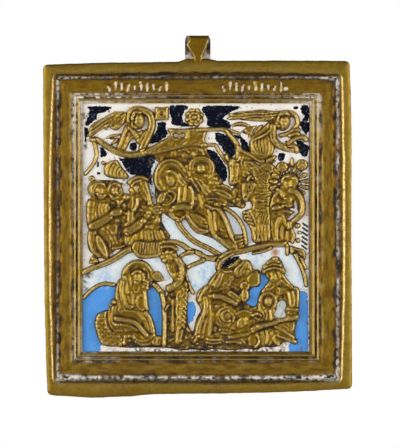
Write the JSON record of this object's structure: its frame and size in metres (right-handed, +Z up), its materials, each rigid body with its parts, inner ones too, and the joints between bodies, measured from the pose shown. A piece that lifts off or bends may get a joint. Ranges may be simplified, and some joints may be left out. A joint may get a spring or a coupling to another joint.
{
  "type": "bronze travel icon",
  "caption": "Small cast bronze icon plaque with a stepped frame, a crowded figure relief on an enamelled ground and a cast loop to hang it by.",
  "frame": {"origin": "middle of the cord hole in the hanging loop, half way through the plate's thickness", "axes": "+X to the viewer's right, -Y out of the picture towards the viewer, +Y towards the wall behind the flat back, +Z up"},
  "size_m": [0.0542, 0.0045, 0.0636],
  "materials": {
    "bronze": "worn golden brass with dark patina in the hollows",
    "enamel_white": "opaque cream white vitreous enamel, slightly pitted",
    "enamel_navy": "blue-black vitreous enamel",
    "enamel_pale": "bluish white vitreous enamel with blue specks",
    "enamel_blue": "bright sky blue vitreous enamel"
  },
  "bodies": {
    "root": {"bronze_casting": "bronze", "enamel_navy_1": "enamel_navy", "enamel_navy_2": "enamel_navy", "enamel_navy_3": "enamel_navy", "enamel_navy_4": "enamel_navy", "enamel_navy_5": "enamel_navy", "enamel_navy_6": "enamel_navy", "enamel_navy_7": "enamel_navy", "enamel_navy_8": "enamel_navy", "enamel_navy_9": "enamel_navy", "enamel_navy_10": "enamel_navy", "enamel_white_1": "enamel_white", "enamel_white_2": "enamel_white", "enamel_white_3": "enamel_white", "enamel_white_4": "enamel_white", "enamel_white_5": "enamel_white", "enamel_white_6": "enamel_white", "enamel_white_7": "enamel_white", "enamel_white_8": "enamel_white", "enamel_white_9": "enamel_white", "enamel_white_10": "enamel_white", "enamel_white_11": "enamel_white", "enamel_white_12": "enamel_white", "enamel_white_13": "enamel_white", "enamel_white_14": "enamel_white", "enamel_white_15": "enamel_white", "enamel_white_16": "enamel_white", "enamel_white_17": "enamel_white", "enamel_white_18": "enamel_white", "enamel_pale_1": "enamel_pale", "enamel_pale_2": "enamel_pale", "enamel_pale_3": "enamel_pale", "enamel_pale_4": "enamel_pale", "enamel_pale_5": "enamel_pale", "enamel_pale_6": "enamel_pale", "enamel_pale_7": "enamel_pale", "enamel_pale_8": "enamel_pale", "enamel_blue_1": "enamel_blue", "enamel_blue_2": "enamel_blue", "enamel_blue_3": "enamel_blue", "enamel_blue_4": "enamel_blue", "enamel_blue_5": "enamel_blue"}
  },
  "joints": []
}
